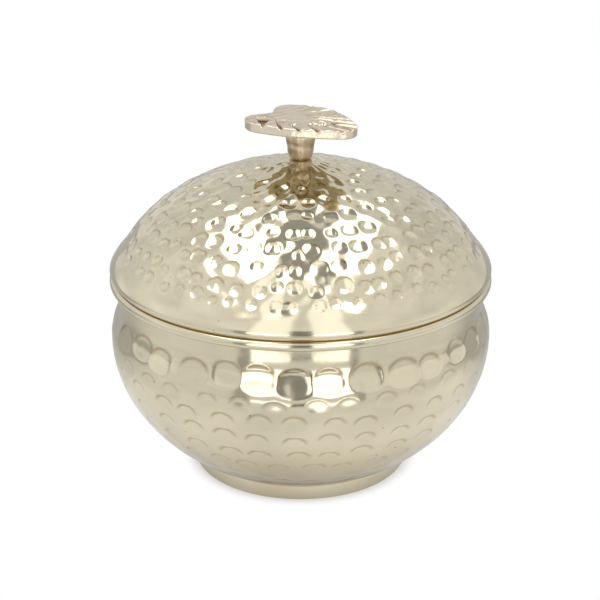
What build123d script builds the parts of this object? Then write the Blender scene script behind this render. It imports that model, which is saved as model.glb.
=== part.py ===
from build123d import *
import math
import os

# A round hammered metal candy box: a wide-bellied bowl on a low foot ring and a domed lid
# with a cast ornamental knob. Millimetres, +Z up. The origin is the centre of the foot ring's
# lower edge, on the surface that the box stands on.

# Sheet and joints
sheet = 0.9
solder_gap = 0.05
lid_rest_gap = 0.4

# Bowl
belly_radius = 75.4
belly_height = 55.0
floor_height = 4.0
neck_draw = 3.3
neck_rise = 16.8
neck_straight = 6.5

# Rolled rim of the bowl
bead_radius = 2.0
curl_end_angle = -115.0
wire_clearance = 0.2

# Foot ring
foot_radius = 43.0
foot_flare = 0.9
foot_height = 6.2
foot_sheet = 1.1
foot_edge_round = 0.3

# Lid
lid_rim_inset = 0.2
lid_widest_rise = 1.85
lid_edge_round = 2.5
lid_edge_start_angle = 25.0
lid_height = 44.5
lid_seat_radius = 5.0
lid_crown_slope = (1, -0.12)
lid_shoulder = [(4.7, 9.2), (10.5, 16.9), (23.9, 28.3), (42.5, 37.2), (57.0, 41.6)]

# Locating collar inside the lid
collar_clearance = 0.6
collar_sheet = 0.8
collar_reach = 6.0
collar_solder_gap = 0.15

# Knob
stem_foot_radius = 3.9
stem_foot_round = 0.7
stem_middle_radius = 5.2
stem_middle_rise = 6.4
stem_top_radius = 6.1
stem_height = 12.9
stem_top_round = 1.0
plate_thickness = 3.7
plate_edge_round = 0.7
plate_outline = [
    (-21.2, -4.0),
    (-20.2, 1.8),
    (-15.5, 4.4),
    (-11.4, 6.6),
    (-10.4, 12.5),
    (-7.0, 17.4),
    (-0.5, 18.5),
    (5.4, 16.2),
    (11.0, 12.0),
    (15.4, 6.0),
    (18.6, -1.5),
    (20.7, -9.0),
    (21.2, -14.6),
    (18.6, -18.7),
    (11.0, -19.3),
    (2.0, -17.9),
    (-6.5, -15.8),
    (-13.8, -12.2),
    (-19.2, -8.5),
]

# Screw and washer that hold the knob from inside the lid
thread_radius = 2.0
thread_clearance = 0.05
thread_depth = 10.0
screw_engagement = 8.5
lid_hole_clearance = 0.25
washer_radius = 4.5
washer_thickness = 0.8
screw_head_radius = 3.6
screw_head_height = 2.4
screw_head_round = 0.9
screw_slot_width = 1.0
screw_slot_depth = 1.1

# Places worked out from the sizes above
neck_radius = belly_radius - neck_draw
neck_height = belly_height + neck_rise
mouth_radius = neck_radius - sheet
bead_height = neck_height + neck_straight
bead_centre_radius = mouth_radius + bead_radius
bead_top = bead_height + bead_radius
lid_radius = bead_centre_radius + bead_radius - lid_rim_inset
lid_edge_height = bead_top + lid_rest_gap
lid_widest_height = lid_edge_height + lid_widest_rise
lid_seat_height = lid_edge_height + lid_height
plate_bottom = lid_seat_height + stem_height
plate_top = plate_bottom + plate_thickness
lid_seat_underside = lid_seat_height - sheet
washer_bottom = lid_seat_underside - washer_thickness
screw_head_bottom = washer_bottom - screw_head_height

# Below its widest point the belly is part of an ellipse that meets the top of the foot ring
foot_top_radius = foot_radius + foot_flare
belly_depth = (belly_height - foot_height) / math.sqrt(1 - (foot_top_radius / belly_radius) ** 2)

# The belly runs into the neck through two equal tangent arcs, one bulging and one hollow
blend_radius = (neck_draw**2 + neck_rise**2) / (4 * neck_draw)
blend_angle = math.degrees(math.asin(neck_rise / (2 * blend_radius)))

# The lid's lowest edge turns in on an arc that starts a little above the widest point
edge_end_angle = -math.degrees(math.asin(lid_widest_rise / lid_edge_round))
edge_arc_size = edge_end_angle - lid_edge_start_angle

# The lid's inner face follows the outer one through this many equal steps
lid_inside_steps = 8


def bowl_wall(inset):
    """One face of the bowl's wall, from the flat floor up to the neck, inset from the outside."""
    half_height = belly_depth - inset
    floor_angle = -math.degrees(math.asin((belly_height - floor_height - inset) / half_height))
    belly = EllipticalCenterArc(
        (0, belly_height), belly_radius - inset, half_height, floor_angle, arc_size=-floor_angle
    )
    CenterArc((belly_radius - blend_radius, belly_height), blend_radius - inset, 0, blend_angle)
    neck = CenterArc(
        (neck_radius + blend_radius, neck_height), blend_radius + inset, 180 + blend_angle, -blend_angle
    )
    Line((0, floor_height + inset), belly @ 0)
    Line(neck @ 1, (neck_radius - inset, bead_height))


def belly_underside(radius):
    """Height of the bowl's outside at a radius below the belly."""
    return belly_height - belly_depth * math.sqrt(1 - (radius / belly_radius) ** 2)


def inside_point(curve, share):
    """The point one sheet inside a curve that runs outwards and down over the dome."""
    along = curve % share
    return curve @ share + Vector(along.Y, -along.X) * sheet


with BuildPart() as bowl_shell:
    with BuildSketch(Plane.XZ) as bowl_section:
        with BuildLine():
            bowl_wall(0)
            bowl_wall(sheet)
            Line((0, floor_height), (0, floor_height + sheet))
            curl = (bead_centre_radius, bead_height)
            curl_size = curl_end_angle - 180
            curl_outside = CenterArc(curl, bead_radius, 180, curl_size)
            curl_inside = CenterArc(curl, bead_radius - sheet, 180, curl_size)
            Line(curl_outside @ 1, curl_inside @ 1)
        make_face()
    revolve(axis=Axis.Z)

with BuildPart() as rim_wire:
    with BuildSketch(Plane.XZ) as wire_section:
        with Locations((bead_centre_radius, bead_height)):
            Circle(bead_radius - sheet - wire_clearance)
    revolve(axis=Axis.Z)

with BuildPart() as foot_ring:
    with BuildSketch(Plane.XZ) as foot_section:
        foot_top_inside = foot_top_radius - foot_sheet
        foot_corners = [
            (foot_radius - foot_sheet, 0),
            (foot_radius, 0),
            (foot_top_radius, belly_underside(foot_top_radius) - solder_gap),
            (foot_top_inside, belly_underside(foot_top_inside) - solder_gap),
        ]
        with BuildLine():
            Polyline(*foot_corners, close=True)
        make_face()
        fillet(foot_section.vertices().group_by(Axis.Y)[0], foot_edge_round)
    revolve(axis=Axis.Z)

with BuildPart() as lid_shell:
    with BuildSketch(Plane.XZ) as lid_section:
        with BuildLine():
            edge_centre = (lid_radius - lid_edge_round, lid_widest_height)
            edge = CenterArc(edge_centre, lid_edge_round, lid_edge_start_angle, edge_arc_size)
            edge_inside = CenterArc(
                edge_centre, lid_edge_round - sheet, lid_edge_start_angle, edge_arc_size
            )
            seat = Line((0, lid_seat_height), (lid_seat_radius, lid_seat_height))
            seat_inside = Line((0, lid_seat_underside), (lid_seat_radius, lid_seat_underside))
            rising = reversed(lid_shoulder)
            shoulder = [(lid_radius - inset, lid_edge_height + rise) for inset, rise in rising]
            dome = Spline(seat @ 1, *shoulder, edge @ 0, tangents=[lid_crown_slope, edge % 0])
            shares = [step / lid_inside_steps for step in range(1, lid_inside_steps)]
            inside = [inside_point(dome, share) for share in shares]
            Spline(seat_inside @ 1, *inside, edge_inside @ 0, tangents=[lid_crown_slope, edge % 0])
            Line(edge @ 1, edge_inside @ 1)
            Line(seat @ 0, seat_inside @ 0)
        make_face()
    revolve(axis=Axis.Z)
    with Locations((0, 0, lid_seat_height)):
        Hole(thread_radius + lid_hole_clearance, depth=2 * sheet)

with BuildPart() as lid_collar:
    with BuildSketch(Plane.XZ) as collar_section:
        collar_outside = mouth_radius - collar_clearance
        collar_inside = collar_outside - collar_sheet
        flange_top = lid_widest_height + collar_sheet / 2
        flange_bottom = flange_top - collar_sheet
        flange_radius = lid_radius - sheet - collar_solder_gap
        collar_bottom = bead_top - collar_reach
        with BuildLine():
            Polyline(
                (collar_inside, collar_bottom),
                (collar_outside, collar_bottom),
                (collar_outside, flange_bottom),
                (flange_radius, flange_bottom),
                (flange_radius, flange_top),
                (collar_inside, flange_top),
                close=True,
            )
        make_face()
        fillet(collar_section.vertices().group_by(Axis.Y)[0], collar_sheet * 0.4)
    revolve(axis=Axis.Z)

with BuildPart() as knob:
    with BuildSketch(Plane.XZ) as stem_section:
        with BuildLine():
            stem_foot = (stem_foot_radius, lid_seat_height)
            stem_middle = (stem_middle_radius, lid_seat_height + stem_middle_rise)
            stem_side = ThreePointArc(stem_foot, stem_middle, (stem_top_radius, plate_bottom))
            Polyline(stem_side @ 1, (0, plate_bottom), (0, lid_seat_height), stem_side @ 0)
        make_face()
        stem_foot_corner = stem_section.vertices().group_by(Axis.Y)[0].sort_by(Axis.X)[-1]
        fillet(stem_foot_corner, stem_foot_round)
    revolve(axis=Axis.Z)
    with BuildSketch(Plane.XY.offset(plate_bottom)) as plate_section:
        with BuildLine():
            Spline(*plate_outline, periodic=True)
        make_face()
    extrude(amount=plate_thickness)
    plate_faces = knob.faces().filter_by(Plane.XY).sort_by(Axis.Z)
    fillet(plate_faces[-1].edges(), plate_edge_round)
    plate_underside = knob.faces().filter_by(Plane.XY).filter_by_position(
        Axis.Z, plate_bottom - sheet, plate_bottom + sheet
    )
    fillet(plate_underside.edges().filter_by(GeomType.CIRCLE), stem_top_round)
    with Locations(Plane.XY.offset(lid_seat_height).rotated((180, 0, 0))):
        Hole(thread_radius + thread_clearance, depth=thread_depth)

with BuildPart() as knob_washer:
    with BuildSketch(Plane.XY.offset(washer_bottom)):
        Circle(washer_radius)
        Circle(thread_radius + lid_hole_clearance, mode=Mode.SUBTRACT)
    extrude(amount=washer_thickness)

with BuildPart() as knob_screw:
    with BuildSketch(Plane.XY.offset(screw_head_bottom)):
        Circle(screw_head_radius)
    extrude(amount=screw_head_height)
    fillet(knob_screw.faces().sort_by(Axis.Z)[0].edges(), screw_head_round)
    with BuildSketch(Plane.XY.offset(screw_head_bottom)):
        Rectangle(2 * screw_head_radius, screw_slot_width)
    extrude(amount=screw_slot_depth, mode=Mode.SUBTRACT)
    with BuildSketch(Plane.XY.offset(washer_bottom)):
        Circle(thread_radius)
    extrude(amount=washer_thickness + sheet + screw_engagement)
    chamfer(knob_screw.faces().sort_by(Axis.Z)[-1].edges(), thread_radius / 4)

bowl_shell.part.label = "bowl_shell"
rim_wire.part.label = "rim_wire"
foot_ring.part.label = "foot_ring"
lid_shell.part.label = "lid_shell"
lid_collar.part.label = "lid_collar"
knob.part.label = "knob"
knob_washer.part.label = "knob_washer"
knob_screw.part.label = "knob_screw"

os.makedirs("parts", exist_ok=True)
pieces = [bowl_shell, rim_wire, foot_ring, lid_shell, lid_collar, knob, knob_washer, knob_screw]
for piece in pieces:
    export_step(piece.part, f"parts/{piece.part.label}.step")
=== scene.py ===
import math

import bpy
import numpy as np
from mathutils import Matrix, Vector

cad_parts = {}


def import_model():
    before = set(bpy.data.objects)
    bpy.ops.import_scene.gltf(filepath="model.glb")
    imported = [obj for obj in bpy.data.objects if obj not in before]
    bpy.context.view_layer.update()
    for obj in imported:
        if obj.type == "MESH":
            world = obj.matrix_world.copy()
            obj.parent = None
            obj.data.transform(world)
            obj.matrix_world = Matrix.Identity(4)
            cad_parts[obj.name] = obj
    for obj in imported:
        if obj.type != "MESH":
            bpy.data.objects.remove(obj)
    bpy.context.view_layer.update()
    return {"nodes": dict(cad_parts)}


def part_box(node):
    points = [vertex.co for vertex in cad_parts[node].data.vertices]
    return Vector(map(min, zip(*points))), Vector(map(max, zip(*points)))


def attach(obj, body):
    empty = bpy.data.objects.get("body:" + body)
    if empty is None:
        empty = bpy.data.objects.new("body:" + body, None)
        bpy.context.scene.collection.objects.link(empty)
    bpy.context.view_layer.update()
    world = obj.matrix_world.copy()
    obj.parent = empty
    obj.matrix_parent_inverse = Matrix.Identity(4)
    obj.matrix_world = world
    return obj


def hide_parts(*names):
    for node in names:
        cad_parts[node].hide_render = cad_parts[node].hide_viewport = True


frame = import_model()

# The bowl, the lid and the knob are modelled again over their CAD nodes, with their hammer marks
# and relief, and the other nodes get better metals. Sizes are in millimetres, as in the part,
# and become metres when a mesh is made.
MM = 0.001
RNG = np.random.default_rng(7)

SHEET = 0.9
FLOOR_HEIGHT = 4.0
BELLY_RADIUS = 75.4
BELLY_HEIGHT = 55.0
NECK_DRAW = 3.3
NECK_RISE = 16.8
NECK_STRAIGHT = 6.5
BEAD_RADIUS = 2.0
CURL_END = math.radians(-115)
FOOT_RADIUS = 43.0
FOOT_FLARE = 0.9
FOOT_HEIGHT = 6.2
LID_EDGE_ROUND = 2.5
LID_WIDEST_RISE = 1.85
LID_SEAT_RADIUS = 5.0
LID_HOLE_RADIUS = 2.25
LID_EDGE_START = math.radians(25)
LID_SEAT_SLOPE = (0.993, -0.119)
LID_SHOULDER = [(57.0, 41.6), (42.5, 37.2), (23.9, 28.3), (10.5, 16.9), (4.7, 9.2)]

NECK_RADIUS = BELLY_RADIUS - NECK_DRAW
NECK_HEIGHT = BELLY_HEIGHT + NECK_RISE
MOUTH_RADIUS = NECK_RADIUS - SHEET
BEAD_HEIGHT = NECK_HEIGHT + NECK_STRAIGHT
BEAD_CENTRE = MOUTH_RADIUS + BEAD_RADIUS
FOOT_TOP_RADIUS = FOOT_RADIUS + FOOT_FLARE
BELLY_DEPTH = (BELLY_HEIGHT - FOOT_HEIGHT) / math.sqrt(1 - (FOOT_TOP_RADIUS / BELLY_RADIUS) ** 2)
LID_LOW, LID_HIGH = (np.array(corner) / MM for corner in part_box("lid_shell"))
LID_RADIUS = LID_HIGH[0]
LID_EDGE_HEIGHT = LID_LOW[2]
LID_SEAT_HEIGHT = LID_HIGH[2]
PLATE_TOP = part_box("knob")[1][2] / MM
PLATE_THICKNESS = 3.7
PLATE_BOTTOM = PLATE_TOP - PLATE_THICKNESS

# The bowl's hammer marks stand in rows of equal count, and the wall is finely divided between
# the start and end heights
BOWL_MARKS = 34
BOWL_POINTS = 704
BOWL_JITTER = 0.13
BOWL_STEP = 0.66
MARKS_START = 9.0
MARKS_END = 70.5
# Each row: height, turn as a share of the pitch, width, height along the wall, depth, lean
BOWL_ROWS = [
    (63.8, 0.36, 12.4, 10.2, 0.52, 0.30),
    (54.0, 0.86, 9.0, 7.2, 0.27, 1.00),
    (47.2, 0.36, 9.0, 7.4, 0.46, 0.95),
    (39.6, 0.36, 9.0, 7.4, 0.46, 0.95),
    (32.2, 0.36, 8.8, 7.2, 0.44, 0.95),
    (25.6, 0.86, 8.4, 6.8, 0.40, 0.95),
    (19.8, 0.36, 8.0, 6.4, 0.36, 0.95),
    (14.8, 0.86, 7.4, 5.8, 0.28, 0.95),
]

# The lid's marks stand in rows round its knob
LID_POINTS = 704
LID_STEP = 0.64
LID_JITTER = 0.26
LID_LEAN = 0.3
LID_MARK_PROPORTION = 0.92
# Each row: radius, count, size, depth
LID_ROWS = [
    (8.5, 7, 5.0, 0.36),
    (16.0, 13, 5.4, 0.42),
    (24.0, 20, 5.7, 0.48),
    (32.0, 26, 5.9, 0.52),
    (40.0, 33, 6.0, 0.54),
    (47.6, 39, 6.0, 0.54),
    (54.4, 44, 6.0, 0.54),
    (60.4, 49, 5.8, 0.50),
    (65.4, 53, 5.5, 0.46),
    (68.8, 56, 4.6, 0.30),
]

# The crease of painted shade round a mark's upper side, as shares of the mark's half size, the
# depth that shows it fully, and how much squarer than round the mark's lower side is
CREASE_PLACE = 0.94
CREASE_WIDTH = 0.13
CREASE_FULL_DEPTH = 0.4
LOWER_SQUARENESS = 0.7

# The knob's plate, seen from above, with the part's front at the low Y
PLATE_OUTLINE = [
    (-21.2, -4.0), (-20.2, 1.8), (-15.5, 4.4), (-11.4, 6.6), (-10.4, 12.5), (-7.0, 17.4),
    (-0.5, 18.5), (5.4, 16.2), (11.0, 12.0), (15.4, 6.0), (18.6, -1.5), (20.7, -9.0),
    (21.2, -14.6), (18.6, -18.7), (11.0, -19.3), (2.0, -17.9), (-6.5, -15.8), (-13.8, -12.2),
    (-19.2, -8.5),
]
PLATE_MIDDLE = (1.5, -3.0)
PLATE_EDGE_ROUND = 0.45
# The stem's radii at its foot, at a middle level and under the plate
STEM_RADII = (3.9, 5.2, 6.1)
STEM_MIDDLE_RISE = 6.4
# Each groove of the plate: start, end, half width, depth
PLATE_GROOVES = [
    ((-4.1, 4.6), (6.0, 15.5), 1.0, 0.5),
    ((0.4, 5.8), (12.0, 11.0), 0.9, 0.8),
    ((1.4, 4.0), (16.4, 4.4), 0.9, 0.8),
    ((2.3, 1.6), (19.4, -3.6), 0.9, 0.9),
    ((3.6, -0.8), (21.0, -9.5), 0.9, 0.9),
    ((4.2, -4.6), (21.2, -14.6), 0.9, 0.9),
    ((4.0, -8.0), (15.5, -19.4), 0.9, 1.2),
    ((1.5, -9.0), (6.6, -19.0), 0.8, 1.5),
    ((-4.5, -8.5), (-0.3, -18.0), 0.8, 1.5),
    ((-9.4, -4.0), (-7.2, -16.0), 0.8, 1.4),
    ((-13.0, 2.0), (-9.0, -2.5), 0.9, 0.6),
    ((9.5, -6.0), (13.6, -12.5), 0.8, 1.2),
    ((14.0, -10.0), (19.0, -18.8), 0.8, 1.0),
]
# Each pit: place in X and Y, half width, half length, depth
PLATE_PITS = [
    (-6.6, -6.5, 1.3, 2.2, 0.7),
    (-3.0, -11.2, 1.6, 1.4, 1.0),
    (4.4, -10.5, 1.8, 1.6, 1.0),
    (8.6, -11.5, 1.4, 1.5, 0.9),
    (12.6, -8.0, 1.4, 2.0, 0.9),
    (17.0, -14.0, 1.3, 1.8, 0.7),
]
# The sharp corner cut into the left of the plate
PLATE_CORNER = [(-17.2, -0.8), (-11.4, -0.8), (-14.2, -13.2)]
PLATE_CORNER_DEPTH = 1.5

# The studio and the camera are in metres, apart from the focal length
CEILING = 1.3
LAMPS_HEIGHT = CEILING + 0.1
# Each lamp overhead: name, middle and width as shares of the ceiling's height
SOFTBOXES = [("left_softbox", -0.43, 0.48), ("right_softbox", 0.40, 0.34)]
# Each card in front of the box: name, span across, span in height, distance, brightness
FRONT_CARDS = [
    ("front_left_card", (-0.092, -0.016), (0.004, 0.11), 0.198, 2.4),
    ("upper_left_card", (-0.092, -0.016), (0.11, 0.33), 0.198, 1.6),
    ("front_right_card", (0.020, 0.090), (0.004, 0.11), 0.198, 2.4),
    ("upper_right_card", (0.020, 0.090), (0.11, 0.33), 0.198, 1.6),
    ("low_flag", (-0.092, 0.090), (0.0185, 0.051), 0.196, 0.85),
    ("gap_flag", (-0.017, 0.019), (0.0, 0.17), 0.197, 0.28),
    ("left_flag", (-0.125, -0.094), (0.0, 0.14), 0.199, 0.45),
    ("right_flag", (0.092, 0.115), (0.0, 0.14), 0.199, 0.45),
]

FOCAL_PIXELS = 1550.6
IMAGE_WIDTH = 600
SENSOR_WIDTH = 36
CAMERA_PLACE = (-0.00023, -0.5744, 0.2971)
CAMERA_TILT = math.radians(68.12)


def spline(points, count, start=None, end=None, closed=False):
    """Points along the cubic spline through the given points, with end directions if given."""
    knots = np.array(points, float)
    if closed:
        knots = np.vstack([knots[-3:], knots, knots[:4]])
    span = np.r_[0, np.cumsum(np.hypot(*np.diff(knots, axis=0).T))]
    n = len(knots)
    gap = np.diff(span)
    system = np.zeros((n, n))
    right = np.zeros((n, 2))
    for i in range(1, n - 1):
        system[i, i - 1 : i + 2] = gap[i], 2 * (gap[i] + gap[i - 1]), gap[i - 1]
        right[i] = 3 * (
            gap[i] * (knots[i] - knots[i - 1]) / gap[i - 1]
            + gap[i - 1] * (knots[i + 1] - knots[i]) / gap[i]
        )
    system[0, 0] = system[-1, -1] = 1
    right[0] = start if start is not None else (knots[1] - knots[0]) / gap[0]
    right[-1] = end if end is not None else (knots[-1] - knots[-2]) / gap[-1]
    slope = np.linalg.solve(system, right)
    low, high = (span[3], span[-4]) if closed else (0, span[-1])
    at = np.linspace(low, high, count, endpoint=not closed)
    i = np.clip(np.searchsorted(span, at, side="right") - 1, 0, n - 2)
    t = ((at - span[i]) / gap[i])[:, None]
    h = gap[i][:, None]
    return (
        (2 * t**3 - 3 * t**2 + 1) * knots[i]
        + (t**3 - 2 * t**2 + t) * h * slope[i]
        + (-2 * t**3 + 3 * t**2) * knots[i + 1]
        + (t**3 - t**2) * h * slope[i + 1]
    )


def arc(centre, radius, start, end, count, depth=None):
    """Points on a circle, or on an ellipse when depth gives its other half size."""
    angle = np.linspace(start, end, count)
    return np.c_[
        centre[0] + radius * np.cos(angle), centre[1] + (depth or radius) * np.sin(angle)
    ]


def evenly(points, step):
    """The same line with points about one step apart."""
    points = np.asarray(points, float)
    span = np.r_[0, np.cumsum(np.hypot(*np.diff(points, axis=0).T))]
    at = np.linspace(0, span[-1], max(2, int(round(span[-1] / step)) + 1))
    return np.c_[np.interp(at, span, points[:, 0]), np.interp(at, span, points[:, 1])]


def normals(points):
    """Unit normals to the left of a line of points."""
    along = np.gradient(points, axis=0)
    along /= np.hypot(*along.T)[:, None]
    return np.c_[-along[:, 1], along[:, 0]]


def new_object(name, points, faces, shade_and_hollow, body, slot, replaced, materials, sharp=60):
    """A smooth-shaded mesh object from points in millimetres, riding on a body for CAD nodes."""
    mesh = bpy.data.meshes.new(name)
    mesh.from_pydata((np.asarray(points) * MM).tolist(), [], faces)
    for material in materials:
        mesh.materials.append(material)
    # Each point's value darkens its metal: painted shade on the hammered shells and the stem, darker
    # cast hollows on the plate.
    mesh.attributes.new("shade_and_hollow", "FLOAT", "POINT").data.foreach_set("value", shade_and_hollow)
    mesh.polygons.foreach_set("use_smooth", np.ones(len(mesh.polygons), bool))
    mesh.set_sharp_from_angle(angle=math.radians(sharp))
    mesh.validate()
    mesh.update()
    made = bpy.data.objects.new(name, mesh)
    bpy.context.scene.collection.objects.link(made)
    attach(made, body)
    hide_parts(*replaced)


class Turned:
    """Rings of points round the Z axis, each joined to the one before it."""

    def __init__(self):
        self.points = []
        self.shade_and_hollow = []
        self.faces = []
        self.rings = []

    def ring(self, points, shade_and_hollow=0.0):
        """Adds a ring or a single point. Its count is the last ring's, or half or twice that."""
        start = sum(len(p) for p in self.points)
        count = len(points)
        self.points.append(np.asarray(points))
        self.shade_and_hollow.append(np.zeros(count) + shade_and_hollow)
        if self.rings:
            self.join(self.rings[-1], (start, count))
        self.rings.append((start, count))

    def join(self, before, after):
        """Faces between two rings, each given by its first point and its count."""
        (a, n), (b, m) = before, after
        if n == 1 or m == 1:
            for i in range(max(n, m)):
                j = (i + 1) % max(n, m)
                self.faces.append((a, b + j, b + i) if n == 1 else (a + i, a + j, b))
        elif n == m:
            for i in range(n):
                j = (i + 1) % n
                self.faces.append((a + i, a + j, b + j, b + i))
        elif n == 2 * m:
            for i in range(m):
                j, k, p, q = (i + 1) % m, 2 * i, 2 * i + 1, (2 * i + 2) % n
                self.faces.append((a + k, a + p, b + i))
                self.faces.append((a + p, b + j, b + i))
                self.faces.append((a + p, a + q, b + j))
        else:
            for i in range(n):
                j, k, p, q = (i + 1) % n, 2 * i, 2 * i + 1, (2 * i + 2) % m
                self.faces.append((b + k, a + i, b + p))
                self.faces.append((a + i, a + j, b + p))
                self.faces.append((b + p, a + j, b + q))

    def line(self, line, counts, moved=None):
        """Adds a ring for each point of a line, moved to the line's left by what moved gives."""
        for i, ((r, z), (nr, nz)) in enumerate(zip(line, normals(line))):
            if r < 1e-6:
                self.ring([(0, 0, z)])
                continue
            angle = np.arange(counts(r)) * 2 * np.pi / counts(r)
            move, shade_and_hollow = moved(i, r, angle) if moved else (0, 0)
            rr, zz = r + nr * move, z + nz * move + 0 * angle
            self.ring(np.c_[rr * np.cos(angle), rr * np.sin(angle), zz], shade_and_hollow)

    def make(self, name, *rest):
        """The finished object; the rest is what new_object takes after the values of painted shade
        and cast hollows.
        """
        points = np.vstack(self.points)
        shade_and_hollow = np.concatenate(self.shade_and_hollow)
        new_object(name, points, self.faces, shade_and_hollow, *rest)


class HammerMarks:
    """The dents of a shell: each has a place along the profile and round it, a size and a depth."""

    def __init__(self, waviness, crispness, upward):
        """Upward is 1 where the profile runs up and -1 where it runs down."""
        self.rows = []
        self.upward = upward
        self.crispness = crispness
        self.waves = [
            (RNG.integers(10, 36), RNG.uniform(0.2, 0.55), *RNG.uniform(0, 2 * np.pi, 2))
            for _ in range(12)
        ]
        self.waviness = waviness

    def row(self, along, radius, count, turn, width, height, depth, lean, jitter):
        """One ring of marks, with sizes in millimetres and the jitter as a share of the pitch."""
        pitch = 2 * np.pi / count
        for i in range(count):
            place, size, lift, deep = RNG.uniform(-1, 1, 4)
            self.rows.append(
                (
                    along + lift * jitter * height,
                    (turn + i + place * jitter) * pitch,
                    width / 2 * (1 + 0.9 * size * jitter),
                    height / 2 * (1 + 0.7 * size * jitter),
                    depth * (1 + 1.3 * deep * jitter),
                    lean,
                )
            )

    def depth(self, along, radius, angle, fade=1.0):
        """How far the surface lies below the smooth form at each angle, and how much painted shade
        its creases get.
        """
        marks = np.array(self.rows)
        near = marks[np.abs(marks[:, 0] - along) < marks[:, 3] * 1.05]
        sunk = np.zeros_like(angle)
        crease = np.zeros_like(angle)
        for place, turn, half_width, half_height, deep, leaning in near:
            across = (angle - turn + np.pi) % (2 * np.pi) - np.pi
            u = across * radius / half_width
            v = (along - place) / half_height * self.upward
            flat = 2 + np.where(v < 0, LOWER_SQUARENESS, 0)
            cap = 1 - np.clip(np.abs(u) ** flat + np.abs(v) ** flat, 0, 1) ** self.crispness
            lean = 1 - leaning * 0.5 * (1 - np.clip(v * 1.4, -1, 1))
            sunk = np.maximum(sunk, deep * cap * lean)
            # The rim along a mark's upper side gets painted shade, fuller on deeper marks.
            off_crease = (np.hypot(u, v) - CREASE_PLACE) / CREASE_WIDTH
            rim = np.exp(-(off_crease**2)) * np.clip(v * 1.6, 0, 1)
            crease = np.maximum(crease, rim * min(1, deep / CREASE_FULL_DEPTH))
        wave = sum(
            np.sin(k * angle + a) * math.sin(m * along + b) for k, m, a, b in self.waves
        ) / 3
        sunk = sunk * min(1, fade * 3) + self.waviness * (0.6 + np.clip(wave, -1, 1)) * fade
        return sunk, crease


def node(tree, kind, **values):
    """A new node of a kind, with the given properties set."""
    made = tree.nodes.new(kind)
    for name, value in values.items():
        setattr(made, name, value)
    return made


def ramp(tree, source, stops):
    """A colour ramp over a value, from (place, colour) stops."""
    made = node(tree, "ShaderNodeValToRGB")
    elements = made.color_ramp.elements
    while len(elements) < len(stops):
        elements.new(0.5)
    for element, (place, colour) in zip(elements, stops):
        element.position = place
        element.color = (*colour, 1)
    tree.links.new(source, made.inputs["Fac"])
    return made.outputs["Color"]


def noise(tree, coordinates, scale, detail=4.0, roughness=0.5):
    """A soft random value, about 0.3 to 0.7 over most of the space."""
    made = node(tree, "ShaderNodeTexNoise")
    made.inputs["Scale"].default_value = scale
    made.inputs["Detail"].default_value = detail
    made.inputs["Roughness"].default_value = roughness
    tree.links.new(coordinates, made.inputs["Vector"])
    return made.outputs["Fac"]


def math_node(tree, operation, *values, clamp=False):
    """One sum or comparison of values, which are numbers or other nodes' outputs."""
    made = node(tree, "ShaderNodeMath", operation=operation, use_clamp=clamp)
    for socket, value in zip(made.inputs, values):
        if isinstance(value, (int, float)):
            socket.default_value = value
        else:
            tree.links.new(value, socket)
    return made.outputs[0]


def spread(tree, source, low, high):
    """A noise value stretched to run from low to high."""
    made = node(tree, "ShaderNodeMapRange")
    made.inputs["From Min"].default_value = 0.3
    made.inputs["From Max"].default_value = 0.7
    made.inputs["To Min"].default_value = low
    made.inputs["To Max"].default_value = high
    tree.links.new(source, made.inputs["Value"])
    return made.outputs["Result"]


def metal(
    name, light, dark, roughness, grain_scale, grain_height, speck=0.0, shade_and_hollow_colour=(1, 1, 1)
):
    """A metal with a slow drift of tone, uneven polish, a fine grain, sparse dark specks and a
    darker tint
    from its mesh: painted shade on the hammered shells and the stem, the cast's darker hollows on
    the plate.
    """
    made = bpy.data.materials.new(name)
    made.use_nodes = True
    tree = made.node_tree
    shader = tree.nodes["Principled BSDF"]
    shader.inputs["Metallic"].default_value = 1.0
    place = node(tree, "ShaderNodeTexCoord").outputs["Object"]
    tone = ramp(tree, noise(tree, place, 28, 3), [(0.32, dark), (0.68, light)])
    if speck:
        cells = node(tree, "ShaderNodeTexVoronoi", feature="F1")
        cells.inputs["Scale"].default_value = 260
        tree.links.new(place, cells.inputs["Vector"])
        spot = math_node(tree, "LESS_THAN", cells.outputs["Distance"], 0.075)
        chosen = math_node(tree, "LESS_THAN", noise(tree, place, 45, 1), speck)
        both = math_node(tree, "MULTIPLY", spot, chosen)
        mix = node(tree, "ShaderNodeMix", data_type="RGBA")
        tree.links.new(both, mix.inputs["Factor"])
        tree.links.new(tone, mix.inputs["A"])
        mix.inputs["B"].default_value = (0.12, 0.09, 0.05, 1)
        tone = mix.outputs["Result"]
    # The mesh's values darken the tone towards the given colour, as painted shade on the shells and
    # the stem, and as the cast's own darker hollows on the plate.
    shade_and_hollow = node(tree, "ShaderNodeAttribute", attribute_name="shade_and_hollow").outputs["Fac"]
    crease = ramp(tree, shade_and_hollow, [(0.0, (1.0, 1.0, 1.0)), (1.0, shade_and_hollow_colour)])
    shade_and_hollow_tint = node(tree, "ShaderNodeMix", data_type="RGBA", blend_type="MULTIPLY")
    shade_and_hollow_tint.inputs["Factor"].default_value = 1.0
    tree.links.new(tone, shade_and_hollow_tint.inputs["A"])
    tree.links.new(crease, shade_and_hollow_tint.inputs["B"])
    tree.links.new(shade_and_hollow_tint.outputs["Result"], shader.inputs["Base Color"])
    smear = noise(tree, place, 60, 5, 0.6)
    tree.links.new(spread(tree, smear, *roughness), shader.inputs["Roughness"])
    bump = node(tree, "ShaderNodeBump")
    bump.inputs["Strength"].default_value = 1.0
    bump.inputs["Distance"].default_value = grain_height * MM
    tree.links.new(noise(tree, place, grain_scale, 5, 0.55), bump.inputs["Height"])
    tree.links.new(bump.outputs["Normal"], shader.inputs["Normal"])
    return made


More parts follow.
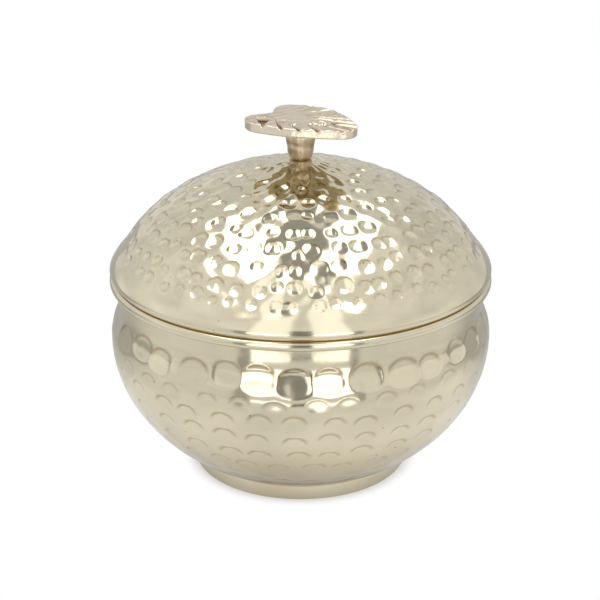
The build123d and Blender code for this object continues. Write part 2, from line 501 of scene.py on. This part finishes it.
def bowl_outside():
    """The bowl's outer profile, from the edge of its flat floor up to the curl."""
    floor_angle = -math.asin((BELLY_HEIGHT - FLOOR_HEIGHT) / BELLY_DEPTH)
    blend = (NECK_DRAW**2 + NECK_RISE**2) / (4 * NECK_DRAW)
    turn = math.asin(NECK_RISE / (2 * blend))
    belly = arc((0, BELLY_HEIGHT), BELLY_RADIUS, floor_angle, 0, 200, BELLY_DEPTH)
    swell = arc((BELLY_RADIUS - blend, BELLY_HEIGHT), blend, 0, turn, 30)
    hollow = arc((NECK_RADIUS + blend, NECK_HEIGHT), blend, math.pi + turn, math.pi, 30)
    return np.vstack([belly, swell[1:], hollow[1:], [(NECK_RADIUS, BEAD_HEIGHT)]])


def ring_count(full):
    """Fewer points where the radius is small."""

    def count(r):
        """The number of points on a ring of radius r."""
        return full // (1 if r > 38 else 2 if r > 19 else 4 if r > 9 else 8 if r > 3 else 16)

    return count


def make_bowl(outside_metal, inside_metal):
    """The hammered bowl with its rolled rim, and the face inside it that shows the marks' backs."""
    marks = HammerMarks(waviness=0.05, crispness=1.7, upward=1)
    outline = bowl_outside()
    height = outline[:, 1]
    low = outline[height <= MARKS_START]
    dented = evenly(outline[(height > MARKS_START - 0.1) & (height < MARKS_END)], BOWL_STEP)
    plain_neck = evenly([dented[-1], *outline[height > MARKS_END + 0.1]], 1.4)
    wall = np.vstack([evenly(low, 2.4), dented, plain_neck[1:]])
    span = np.r_[0, np.cumsum(np.hypot(*np.diff(wall, axis=0).T))]
    for level, turn, width, tall, deep, lean in BOWL_ROWS:
        i = int(np.argmin(np.abs(wall[:, 1] - level)))
        marks.row(span[i], wall[i, 0], BOWL_MARKS, turn, width, tall, deep, lean, BOWL_JITTER)
    top = span[-1]

    def sunk(along, radius, angle):
        """The marks' depth, faded out near both ends, and the painted shade in their creases, with
        more painted shade towards the wall's foot.
        """
        fade = min(1, max(0, (top - 7 - along) / 4), along / 6)
        sunk, crease = marks.depth(along, radius, angle, fade)
        # Painted shade over the lower wall, full below 17 mm and gone above 39 mm.
        low = 1 - np.clip((np.interp(along, span, wall[:, 1]) - 17) / 22, 0, 1)
        return sunk, np.clip(crease + low, 0, 1)

    fine = ring_count(BOWL_POINTS)
    half = ring_count(BOWL_POINTS // 2)
    outer = Turned()
    for r, z in evenly([(0, FLOOR_HEIGHT), wall[0]], 5.0)[:-1]:
        count = half(r)
        angle = np.arange(count) * 2 * np.pi / count
        ring = np.c_[r * np.cos(angle), r * np.sin(angle), z + 0 * angle]
        outer.ring(ring if r > 1e-6 else [(0, 0, z)])
    outer.line(
        wall,
        lambda r: fine(r) if r > 46 else half(r),
        moved=lambda i, r, a: sunk(span[i], r, a),
    )
    curl = (BEAD_CENTRE, BEAD_HEIGHT)
    outer.line(arc(curl, BEAD_RADIUS - SHEET, math.pi, CURL_END, 12)[1:], half)
    outer.line(arc(curl, BEAD_RADIUS, CURL_END, math.pi, 24), half)
    outer.make("hammered_bowl", "bowl", "hammered_shell", ["bowl_shell"], [outside_metal])

    back, back_span = wall[::-2], span[::-2]
    keep = back[:, 1] < NECK_HEIGHT + 4
    back, back_span = back[keep], back_span[keep]
    inner = back - normals(back) * SHEET
    lining = Turned()
    rim = [(MOUTH_RADIUS, BEAD_HEIGHT), (MOUTH_RADIUS, BEAD_HEIGHT - 1.5)]
    lining.line(rim, half)
    lining.line(inner, half, moved=lambda i, r, a: (-sunk(back_span[i], r, a)[0], 0))
    lining.line(evenly([inner[-1], (0, FLOOR_HEIGHT + SHEET)], 5.0)[1:], half)
    lining.make("bowl_lining", "bowl", "hammered_shell", ["bowl_shell"], [inside_metal])


def lid_outside():
    """The lid's outer profile from its hole to its edge, the edge's arc and that arc's centre."""
    widest = LID_EDGE_HEIGHT + LID_WIDEST_RISE
    start = LID_EDGE_START
    centre = (LID_RADIUS - LID_EDGE_ROUND, widest)
    edge = arc(centre, LID_EDGE_ROUND, start, -math.asin(LID_WIDEST_RISE / LID_EDGE_ROUND), 12)
    shoulder = [(LID_RADIUS - inset, LID_EDGE_HEIGHT + rise) for inset, rise in LID_SHOULDER]
    seat_end = (LID_SEAT_RADIUS, LID_SEAT_HEIGHT)
    dome = spline(
        [seat_end, *shoulder, edge[0]],
        400,
        start=LID_SEAT_SLOPE,
        end=(math.sin(start), -math.cos(start)),
    )
    return np.vstack([[(LID_HOLE_RADIUS, LID_SEAT_HEIGHT)], dome]), edge, centre


def raised(sunk, crease):
    """The same marks for a line whose left side is the outside."""
    return -sunk, crease


def make_lid(outside_metal, inside_metal):
    """The hammered lid with its rounded edge, and the face inside it that shows the marks' backs."""
    marks = HammerMarks(waviness=0.24, crispness=1.1, upward=-1)
    dome, edge, edge_centre = lid_outside()
    dome = evenly(dome, LID_STEP)
    span = np.r_[0, np.cumsum(np.hypot(*np.diff(dome, axis=0).T))]
    for radius, count, size, deep in LID_ROWS:
        i = int(np.argmin(np.abs(dome[:, 0] - radius)))
        turn = RNG.uniform(0, 1)
        tall = size * LID_MARK_PROPORTION
        marks.row(span[i], radius, count, turn, size, tall, deep, LID_LEAN, LID_JITTER)

    def sunk(along, radius, angle):
        """The marks' depth and the painted shade in their creases, faded out near the edge and round
        the knob's seat.
        """
        fade = min(1, max(0, (span[-1] - 4 - along) / 6), max(0, (along - 5) / 6))
        return marks.depth(along, radius, angle, fade)

    fine = ring_count(LID_POINTS)
    half = ring_count(LID_POINTS // 2)
    outer = Turned()
    outer.line(dome, fine, moved=lambda i, r, a: raised(*sunk(span[i], r, a)))
    outer.line(edge[1:], fine)
    low = -math.asin(LID_WIDEST_RISE / LID_EDGE_ROUND)
    outer.line(arc(edge_centre, LID_EDGE_ROUND - SHEET, low, LID_EDGE_START, 8), half)
    outer.make("hammered_lid", "lid", "hammered_shell", ["lid_shell"], [outside_metal])

    back, back_span = dome[::-2], span[::-2]
    inner = back + normals(back) * SHEET
    lining = Turned()
    lining.line(inner[1:-1], half, moved=lambda i, r, a: (sunk(back_span[i + 1], r, a)[0], 0))
    hole = [(LID_HOLE_RADIUS, LID_SEAT_HEIGHT - SHEET), (LID_HOLE_RADIUS, LID_SEAT_HEIGHT)]
    lining.line(hole, half)
    lining.make("lid_lining", "lid", "hammered_shell", ["lid_shell"], [inside_metal])


def collar_metal():
    """The collar's metal, with a faint glow near its flange for the light that the seam holds."""
    made = metal(
        "collar_metal",
        light=(0.70, 0.56, 0.33),
        dark=(0.60, 0.47, 0.26),
        roughness=(0.30, 0.45),
        grain_scale=500,
        grain_height=0.02,
    )
    tree = made.node_tree
    shader = tree.nodes["Principled BSDF"]
    parts = node(tree, "ShaderNodeSeparateXYZ")
    tree.links.new(node(tree, "ShaderNodeTexCoord").outputs["Object"], parts.inputs[0])
    near = node(tree, "ShaderNodeMapRange", interpolation_type="SMOOTHSTEP")
    for name, value in (("From Min", 0.0770), ("From Max", 0.0805), ("To Max", 0.16)):
        near.inputs[name].default_value = value
    tree.links.new(parts.outputs["Z"], near.inputs["Value"])
    shader.inputs["Emission Color"].default_value = (1.0, 0.68, 0.30, 1)
    tree.links.new(near.outputs["Result"], shader.inputs["Emission Strength"])
    return made


def bumps_of_cast(x, y, z, scale, seed):
    """A smooth random bumpiness from a few waves that run in different directions."""
    random = np.random.default_rng(seed)
    total = 0 * x
    for _ in range(14):
        direction = random.normal(size=3)
        direction *= random.uniform(0.6, 1.5) / np.linalg.norm(direction) * 2 * np.pi / scale
        shift = random.uniform(0, 2 * np.pi)
        total = total + np.sin(direction[0] * x + direction[1] * y + direction[2] * z + shift)
    return total / 14


def groove(x, y, start, end, width, deep):
    """A hollow along a line between two points of the plate, widest at its outer end."""
    (ax, ay), (bx, by) = start, end
    dx, dy = bx - ax, by - ay
    t = np.clip(((x - ax) * dx + (y - ay) * dy) / (dx * dx + dy * dy), 0, 1)
    away = np.hypot(x - ax - t * dx, y - ay - t * dy)
    wide = width * (0.5 + 0.5 * t)
    return deep * np.exp(-((away / wide) ** 2)) * np.clip(0.25 + 1.2 * t, 0, 1)


def plate_relief(x, y):
    """How far the top of the cast plate lies below its highest level."""
    rough = bumps_of_cast(x, y, 0 * x, 4.2, 3)
    calm = np.exp(-(((x + 1.5) / 3.2) ** 2 + ((y - 3) / 9) ** 2))
    sunk = 0.03 + np.clip(0.12 + 0.75 * rough, 0, 1) * (1 - 0.8 * calm)
    for start, end, width, deep in PLATE_GROOVES:
        sunk = np.maximum(sunk, groove(x, y, start, end, width, deep))
    for px, py, wide, tall, deep in PLATE_PITS:
        away = ((x - px) / wide) ** 2 + ((y - py) / tall) ** 2
        sunk = np.maximum(sunk, deep * np.exp(-(away**2)))
    inside = np.ones_like(x)
    for (ax, ay), (bx, by) in zip(PLATE_CORNER, PLATE_CORNER[1:] + PLATE_CORNER[:1]):
        side = (bx - ax) * (y - ay) - (by - ay) * (x - ax)
        inside = np.minimum(inside, -side / math.hypot(bx - ax, by - ay) / 0.5 + 0.6)
    return np.maximum(sunk, PLATE_CORNER_DEPTH * np.clip(inside, 0, 1))


def plate_reach(angle):
    """How far the plate's outline lies from its middle at each angle."""
    outline = spline(PLATE_OUTLINE, 4000, closed=True)
    x, y = outline[:, 0] - PLATE_MIDDLE[0], outline[:, 1] - PLATE_MIDDLE[1]
    turn = np.arctan2(y, x)
    far = np.hypot(x, y)
    order = np.argsort(turn)
    wrapped = (angle + np.pi) % (2 * np.pi) - np.pi
    return np.interp(wrapped, turn[order], far[order], period=2 * np.pi) - 0.02


def make_knob(cast_metal):
    """The cast knob: the plate's top, edge and underside, then the stem down to the lid."""
    angle = np.arange(480) * 2 * np.pi / 480
    reach = plate_reach(angle)
    cx, cy = PLATE_MIDDLE
    knob = Turned()

    def around(r):
        """The points at a distance from the plate's middle, at every angle."""
        return cx + r * np.cos(angle), cy + r * np.sin(angle)

    knob.ring([(cx, cy, PLATE_TOP - 0.3)])
    for step in np.r_[np.linspace(0.02, 0.9, 52), np.linspace(0.91, 1, 10)]:
        x, y = around((reach - PLATE_EDGE_ROUND) * step)
        deep = plate_relief(x, y)
        top = PLATE_TOP - deep * min(1, (1.06 - step) * 14)
        knob.ring(np.c_[x, y, top], np.clip(deep - 0.1, 0, 1))
    edge = PLATE_TOP - plate_relief(x, y) * 0.84
    for tilt in np.linspace(0.2, 1, 7):
        x, y = around(reach - PLATE_EDGE_ROUND * (1 - math.sin(tilt * math.pi / 2)))
        drop = PLATE_EDGE_ROUND * (1 - math.cos(tilt * math.pi / 2))
        knob.ring(np.c_[x, y, edge - drop])
    side = edge - PLATE_EDGE_ROUND
    low = PLATE_BOTTOM + PLATE_EDGE_ROUND
    for step in np.linspace(0.15, 1, 8):
        x, y = around(reach - 0.12 - 0.12 * bumps_of_cast(x, y, side + step * 4, 4.0, 5))
        knob.ring(np.c_[x, y, side + (low - side) * step])
    for tilt in np.linspace(0.2, 1, 6):
        x, y = around(reach - 0.2 - PLATE_EDGE_ROUND * (1 - math.cos(tilt * math.pi / 2)))
        under = low - PLATE_EDGE_ROUND * math.sin(tilt * math.pi / 2)
        knob.ring(np.c_[x, y, under + 0 * x])
    stem_top = STEM_RADII[-1] + 1.0
    for step in np.linspace(0.08, 1, 16):
        bx = x + (stem_top * np.cos(angle) - x) * step
        by = y + (stem_top * np.sin(angle) - y) * step
        cast = bumps_of_cast(bx, by, 0 * bx, 5, 6)
        knob.ring(np.c_[bx, by, PLATE_BOTTOM + 0.1 * cast + 0.1])
    add_stem(knob, angle)
    knob.make("cast_knob", "lid", "cast_knob", ["knob"], [cast_metal])


def add_stem(knob, angle):
    """The rings of the stem, from the plate's underside down to the lid's seat."""
    foot, middle, top = STEM_RADII
    stem = spline(
        [
            (top + 1, PLATE_BOTTOM),
            (top + 0.1, PLATE_BOTTOM - 0.9),
            (middle + 0.45, LID_SEAT_HEIGHT + 9),
            (middle, LID_SEAT_HEIGHT + STEM_MIDDLE_RISE),
            (foot + 0.5, LID_SEAT_HEIGHT + 1.6),
            (foot + 0.2, LID_SEAT_HEIGHT + 0.7),
        ],
        44,
    )
    for i, (r, z) in enumerate(stem[1:]):
        fade = min(1, i / 6, (len(stem) - 2 - i) / 6)
        cast = bumps_of_cast(r * np.cos(angle), r * np.sin(angle), z, 4.0, 9)
        wide = r + 0.2 + fade * 0.22 * cast
        ring = np.c_[wide * np.cos(angle), wide * np.sin(angle), z + 0 * angle]
        # The stem is tinted darker all over as painted shade under the plate, and darker still in
        # the hollows of its cast bumps.
        knob.ring(ring, np.clip(0.52 - 0.9 * cast, 0, 1))
    end = LID_SEAT_HEIGHT + 0.02
    knob.ring(np.c_[foot * np.cos(angle), foot * np.sin(angle), end + 0 * angle])
    knob.ring([(0, 0, end)])


def world():
    """White for the camera, a little uneven in mirrors, and half as bright as a soft light."""
    made = bpy.data.worlds.new("studio")
    bpy.context.scene.world = made
    made.use_nodes = True
    tree = made.node_tree
    tree.nodes.clear()
    path = node(tree, "ShaderNodeLightPath")
    seen = math_node(tree, "MAXIMUM", path.outputs["Is Camera Ray"], path.outputs["Is Glossy Ray"])
    seen = math_node(tree, "MAXIMUM", seen, path.outputs["Is Transmission Ray"])
    soft = node(tree, "ShaderNodeBackground")
    soft.inputs["Strength"].default_value = 0.5
    bright = node(tree, "ShaderNodeBackground")
    bright.inputs["Strength"].default_value = 1.0
    for background in (soft, bright):
        background.inputs["Color"].default_value = (1, 1, 1, 1)
    way = node(tree, "ShaderNodeTexCoord").outputs["Generated"]
    parts = node(tree, "ShaderNodeSeparateXYZ")
    tree.links.new(way, parts.inputs[0])
    behind = node(tree, "ShaderNodeMapRange", interpolation_type="SMOOTHSTEP")
    for name, value in (("From Min", 0.15), ("From Max", 1.0), ("To Min", 1.0), ("To Max", 0.8)):
        behind.inputs[name].default_value = value
    tree.links.new(parts.outputs["Y"], behind.inputs["Value"])
    patches = spread(tree, noise(tree, way, 2.9, 2), 0.82, 1.12)
    mirrored = math_node(tree, "MULTIPLY", behind.outputs["Result"], patches)
    only_mirror = math_node(
        tree, "SUBTRACT", path.outputs["Is Glossy Ray"], path.outputs["Is Camera Ray"], clamp=True
    )
    drop = math_node(tree, "MULTIPLY", only_mirror, math_node(tree, "SUBTRACT", 1.0, mirrored))
    tree.links.new(math_node(tree, "SUBTRACT", 1.0, drop), bright.inputs["Strength"])
    mix = node(tree, "ShaderNodeMixShader")
    tree.links.new(seen, mix.inputs[0])
    tree.links.new(soft.outputs[0], mix.inputs[1])
    tree.links.new(bright.outputs[0], mix.inputs[2])
    tree.links.new(mix.outputs[0], node(tree, "ShaderNodeOutputWorld").inputs[0])


def softbox(name, centre, size, aim, radiance):
    """A rectangular lamp of a given brightness that mirrors see and the camera doesn't."""
    light = bpy.data.lights.new(name, "AREA")
    light.shape = "RECTANGLE"
    light.size, light.size_y = size
    light.energy = radiance * math.pi * size[0] * size[1]
    made = bpy.data.objects.new(name, light)
    made.location = centre
    direction = Vector(aim) - Vector(centre)
    made.rotation_euler = direction.to_track_quat("-Z", "Y").to_euler()
    made.visible_camera = False
    bpy.context.scene.collection.objects.link(made)


def card(name, corners, radiance):
    """A flat card that only mirrors see, bright or dark."""
    mesh = bpy.data.meshes.new(name)
    mesh.from_pydata(corners, [], [tuple(range(len(corners)))])
    material = bpy.data.materials.new(name)
    material.use_nodes = True
    tree = material.node_tree
    tree.nodes.clear()
    glow = node(tree, "ShaderNodeEmission")
    glow.inputs["Strength"].default_value = radiance
    tree.links.new(glow.outputs[0], node(tree, "ShaderNodeOutputMaterial").inputs[0])
    mesh.materials.append(material)
    made = bpy.data.objects.new(name, mesh)
    for ray in ("camera", "diffuse", "transmission", "volume_scatter", "shadow"):
        setattr(made, "visible_" + ray, False)
    bpy.context.scene.collection.objects.link(made)


def front_card(name, across, heights, distance, radiance):
    """An upright card in front of the box, with its spans in metres."""
    (left, right), (low, high) = across, heights
    corners = [(left, low), (right, low), (right, high), (left, high)]
    card(name, [(x, -distance, z) for x, z in corners], radiance)


def floor():
    """A pale floor with the shadow at the box's foot, white for the camera further out; in mirrors
    it glows, with a painted shadow round the foot and dimmer behind the box.
    """
    mesh = bpy.data.meshes.new("floor")
    turn = np.arange(96) * 2 * np.pi / 96
    mesh.from_pydata([(4 * math.cos(t), 4 * math.sin(t), 0) for t in turn], [], [tuple(range(96))])
    material = bpy.data.materials.new("pale_floor")
    material.use_nodes = True
    tree = material.node_tree
    shader = tree.nodes["Principled BSDF"]
    shader.inputs["Base Color"].default_value = (0.86, 0.86, 0.86, 1)
    shader.inputs["Roughness"].default_value = 0.9
    shader.inputs["Specular IOR Level"].default_value = 0.0
    place = node(tree, "ShaderNodeNewGeometry").outputs["Position"]
    away = node(tree, "ShaderNodeVectorMath", operation="LENGTH")
    tree.links.new(place, away.inputs[0])
    path = node(tree, "ShaderNodeLightPath")
    clear = node(tree, "ShaderNodeMapRange", interpolation_type="SMOOTHSTEP")
    clear.inputs["From Min"].default_value = 0.037
    clear.inputs["From Max"].default_value = 0.049
    tree.links.new(away.outputs["Value"], clear.inputs["Value"])
    shown = math_node(tree, "MULTIPLY", clear.outputs["Result"], path.outputs["Is Camera Ray"])
    share = math_node(tree, "MAXIMUM", shown, path.outputs["Is Glossy Ray"])
    # In mirrors the floor glows instead, with a painted shadow that darkens it near the foot.
    metres = math_node(tree, "MULTIPLY", away.outputs["Value"], 4.0, clamp=True)
    stops = [(0.170, 0.5), (0.20, 0.8), (0.25, 0.92), (0.29, 1.0), (0.5, 1.0), (1.0, 0.9)]
    mirrored = ramp(tree, metres, [(at, (value,) * 3) for at, value in stops])
    patches = spread(tree, noise(tree, place, 9.0, 2), 0.86, 1.08)
    mirrored = math_node(tree, "MULTIPLY", mirrored, patches)
    parts = node(tree, "ShaderNodeSeparateXYZ")
    tree.links.new(place, parts.inputs[0])
    behind = node(tree, "ShaderNodeMapRange", interpolation_type="SMOOTHSTEP")
    for name, value in (("From Min", -0.03), ("From Max", 0.10), ("To Min", 1.0), ("To Max", 0.60)):
        behind.inputs[name].default_value = value
    tree.links.new(parts.outputs["Y"], behind.inputs["Value"])
    mirrored = math_node(tree, "MULTIPLY", mirrored, behind.outputs["Result"])
    drop = math_node(
        tree, "MULTIPLY", path.outputs["Is Glossy Ray"], math_node(tree, "SUBTRACT", 1.0, mirrored)
    )
    glow = node(tree, "ShaderNodeEmission")
    tree.links.new(math_node(tree, "SUBTRACT", 1.0, drop), glow.inputs["Strength"])
    mix = node(tree, "ShaderNodeMixShader")
    tree.links.new(share, mix.inputs[0])
    tree.links.new(shader.outputs[0], mix.inputs[1])
    tree.links.new(glow.outputs[0], mix.inputs[2])
    tree.links.new(mix.outputs[0], tree.nodes["Material Output"].inputs[0])
    mesh.materials.append(material)
    made = bpy.data.objects.new("floor", mesh)
    bpy.context.scene.collection.objects.link(made)


def studio():
    """The overhead lamps with a dark gap between them, and the cards in front of the box."""
    for name, across, width in SOFTBOXES:
        middle = across * CEILING
        size = (width * CEILING, 1.1 * CEILING)
        softbox(name, (middle, -0.03, LAMPS_HEIGHT), size, (middle, -0.03, 0), 2.0)
    for name, across, heights, distance, radiance in FRONT_CARDS:
        front_card(name, across, heights, distance, radiance)
    left, right = -0.16 * CEILING, 0.18 * CEILING
    near, far = -0.55 * CEILING, 0.45 * CEILING
    gap = [(left, near), (left, far), (right, far), (right, near)]
    card("ceiling_gap", [(x, y, LAMPS_HEIGHT) for x, y in gap], 0.42)


def camera():
    """The photograph's viewing angle."""
    lens = bpy.data.cameras.new("camera")
    lens.sensor_width = SENSOR_WIDTH
    lens.lens = FOCAL_PIXELS / IMAGE_WIDTH * SENSOR_WIDTH
    lens.clip_start = 0.01
    made = bpy.data.objects.new("camera", lens)
    made.location = CAMERA_PLACE
    made.rotation_euler = (CAMERA_TILT, 0, 0)
    bpy.context.scene.collection.objects.link(made)
    bpy.context.scene.camera = made


champagne = metal(
    "champagne_metal",
    light=(0.68, 0.62, 0.465),
    dark=(0.63, 0.57, 0.42),
    roughness=(0.09, 0.155),
    grain_scale=420,
    grain_height=0.012,
    speck=0.36,
    # The darker tint is painted shade, in the marks' creases and towards the bowl's foot.
    shade_and_hollow_colour=(0.62, 0.56, 0.47),
)
inside = metal(
    "inside_metal",
    light=(0.66, 0.60, 0.44),
    dark=(0.58, 0.52, 0.37),
    roughness=(0.16, 0.30),
    grain_scale=500,
    grain_height=0.02,
)
smooth = metal(
    "foot_metal",
    light=(0.77, 0.69, 0.52),
    dark=(0.69, 0.60, 0.43),
    roughness=(0.10, 0.18),
    grain_scale=420,
    grain_height=0.012,
    speck=0.36,
)
cast = metal(
    "cast_metal",
    light=(0.77, 0.69, 0.555),
    dark=(0.66, 0.57, 0.44),
    roughness=(0.22, 0.36),
    grain_scale=700,
    grain_height=0.10,
    # The darker tint is the cast's own colour in the plate's hollows, and painted shade on the stem.
    shade_and_hollow_colour=(0.45, 0.36, 0.26),
)
wire = metal(
    "wire_metal",
    light=(0.30, 0.27, 0.23),
    dark=(0.18, 0.16, 0.13),
    roughness=(0.35, 0.5),
    grain_scale=1500,
    grain_height=0.03,
)
steel = metal(
    "fastener_metal",
    light=(0.62, 0.58, 0.50),
    dark=(0.50, 0.46, 0.38),
    roughness=(0.2, 0.35),
    grain_scale=1800,
    grain_height=0.01,
)

make_bowl(champagne, inside)
make_lid(champagne, inside)
make_knob(cast)

node_metals = {
    "foot_ring": smooth,
    "rim_wire": wire,
    "lid_collar": collar_metal(),
    "knob_washer": steel,
    "knob_screw": steel,
}
for name, given in node_metals.items():
    node_mesh = frame["nodes"][name].data
    node_mesh.materials.clear()
    node_mesh.materials.append(given)

world()
floor()
studio()
camera()
bpy.context.scene.view_settings.view_transform = "Standard"
